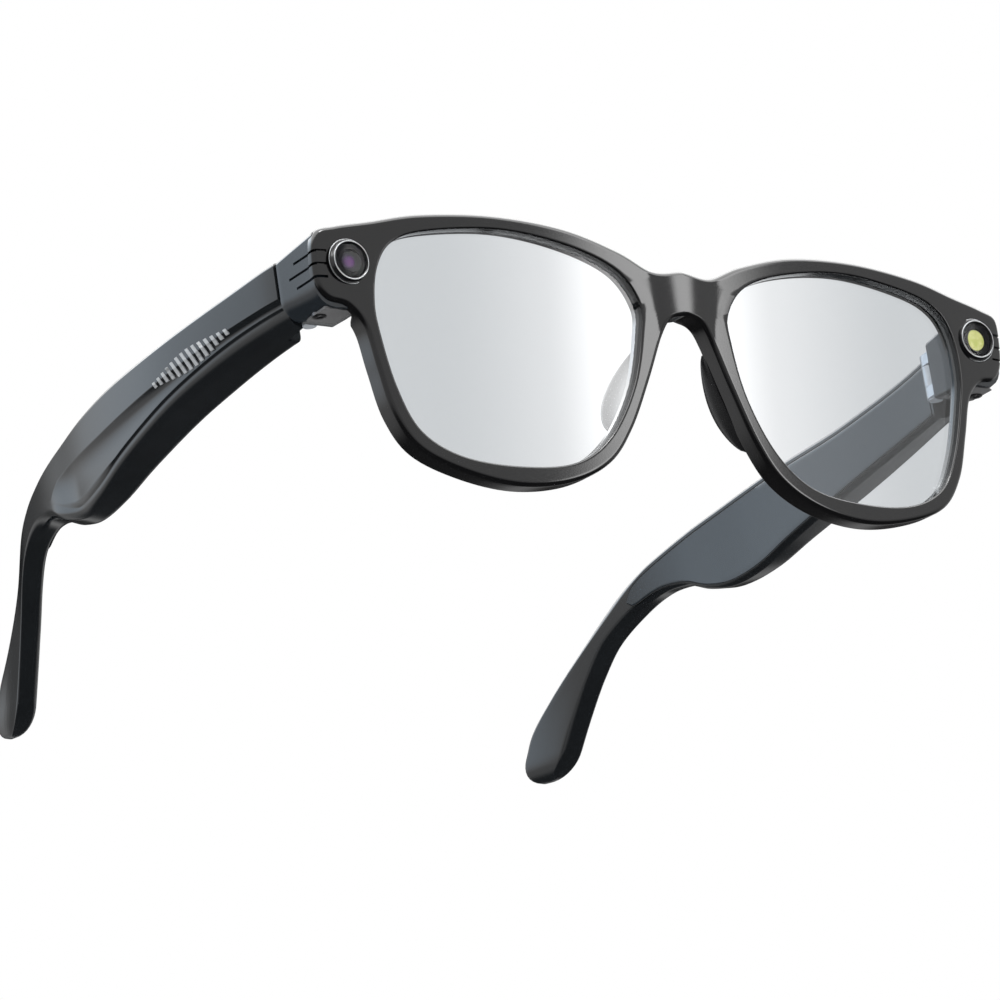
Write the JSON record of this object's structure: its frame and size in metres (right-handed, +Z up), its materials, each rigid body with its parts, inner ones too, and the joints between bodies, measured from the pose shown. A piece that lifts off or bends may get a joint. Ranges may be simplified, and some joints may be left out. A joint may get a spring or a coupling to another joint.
{
  "type": "smart glasses",
  "caption": "Smart glasses with a camera and a light in the front, clear lenses, folding sensing temples with speakers and batteries inside, and a press button on each temple.",
  "frame": {"origin": "middle of the bounding box in X and Y, at its lowest point", "axes": "+X towards the wearer's left, +Y back along the temples, away from the front, +Z up; the glasses look along -Y"},
  "size_m": [0.1544, 0.15, 0.0481],
  "materials": {
    "frame_plastic": "glossy black, slightly blue",
    "trim_plastic": "satin black",
    "lens_clear": "clear, very slight grey tint",
    "pad_rubber": "soft black",
    "ring_metal": "black with a bright front edge",
    "cover_glass": "dark, polished",
    "lens_coated": "purple coated",
    "barrel_black": "matt black",
    "circuit_board": "solder mask",
    "led_phosphor": "pale yellow",
    "block_plastic": "glossy blue-grey",
    "hinge_steel": "brushed",
    "screw_steel": "blackened steel",
    "flex_copper": "amber film",
    "temple_plastic": "glossy blue-grey",
    "cover_plastic": "glossy blue-grey",
    "battery_foil": "foil pouch",
    "shield_tin": "tin plate",
    "speaker_black": "satin black",
    "mesh_steel": "dark mesh",
    "bar_print": "light grey print",
    "switch_body": "satin grey",
    "button_plastic": "glossy dark grey",
    "contact_gold": "gold plated"
  },
  "bodies": {
    "front": {"front_frame": "frame_plastic", "brow_cover": "trim_plastic", "front_flex_cable": "flex_copper", "lens_right": "lens_clear", "lens_left": "lens_clear", "nose_pad_right": "pad_rubber", "nose_pad_left": "pad_rubber", "camera_bezel": "ring_metal", "camera_cover_glass": "cover_glass", "camera_lens_element": "lens_coated", "camera_barrel": "barrel_black", "camera_board": "circuit_board", "flash_bezel": "ring_metal", "flash_cover_glass": "cover_glass", "flash_led": "led_phosphor", "flash_board": "circuit_board", "end_block_right": "block_plastic", "end_block_left": "block_plastic", "end_cover_right": "trim_plastic", "end_cover_left": "trim_plastic", "end_cover_screws": "screw_steel", "front_hinge_leaf_right": "hinge_steel", "front_hinge_leaf_left": "hinge_steel", "hinge_pin_right": "hinge_steel", "hinge_pin_left": "hinge_steel"},
    "temple_right": {"temple_shell_right": "temple_plastic", "temple_cover_right": "cover_plastic", "temple_hinge_leaf_right": "hinge_steel", "battery_right": "battery_foil", "main_board": "circuit_board", "board_shield": "shield_tin", "speaker_right": "speaker_black", "speaker_mesh_right": "mesh_steel", "microphone_right": "shield_tin", "touch_sensor_right": "flex_copper", "touch_bars_right": "bar_print", "capture_switch": "switch_body", "charging_contacts": "contact_gold"},
    "temple_left": {"temple_shell_left": "temple_plastic", "temple_cover_left": "cover_plastic", "temple_hinge_leaf_left": "hinge_steel", "battery_left": "battery_foil", "left_board": "circuit_board", "speaker_left": "speaker_black", "speaker_mesh_left": "mesh_steel", "microphone_left": "shield_tin", "touch_sensor_left": "flex_copper", "touch_bars_left": "bar_print", "power_switch": "switch_body"},
    "capture_button": {"capture_button": "button_plastic"},
    "power_button": {"power_button": "button_plastic"}
  },
  "joints": [
    {"name": "temple_fold_left", "type": "hinge", "parent": "front", "child": "temple_left", "pos_m": [0.066, -0.05523, 0.03625], "axis": [0, 0, 1], "range_deg": [0, 88]},
    {"name": "temple_fold_right", "type": "hinge", "parent": "front", "child": "temple_right", "pos_m": [-0.066, -0.05523, 0.03625], "axis": [0, 0, -1], "range_deg": [0, 78]},
    {"name": "capture_button_press", "type": "slide", "parent": "temple_right", "child": "capture_button", "axis": [0, 0, -1], "range_m": [0, 0.0005], "stiffness_N_per_m": 2000},
    {"name": "power_button_press", "type": "slide", "parent": "temple_left", "child": "power_button", "axis": [0, 0, -1], "range_m": [0, 0.0005], "stiffness_N_per_m": 2000}
  ]
}
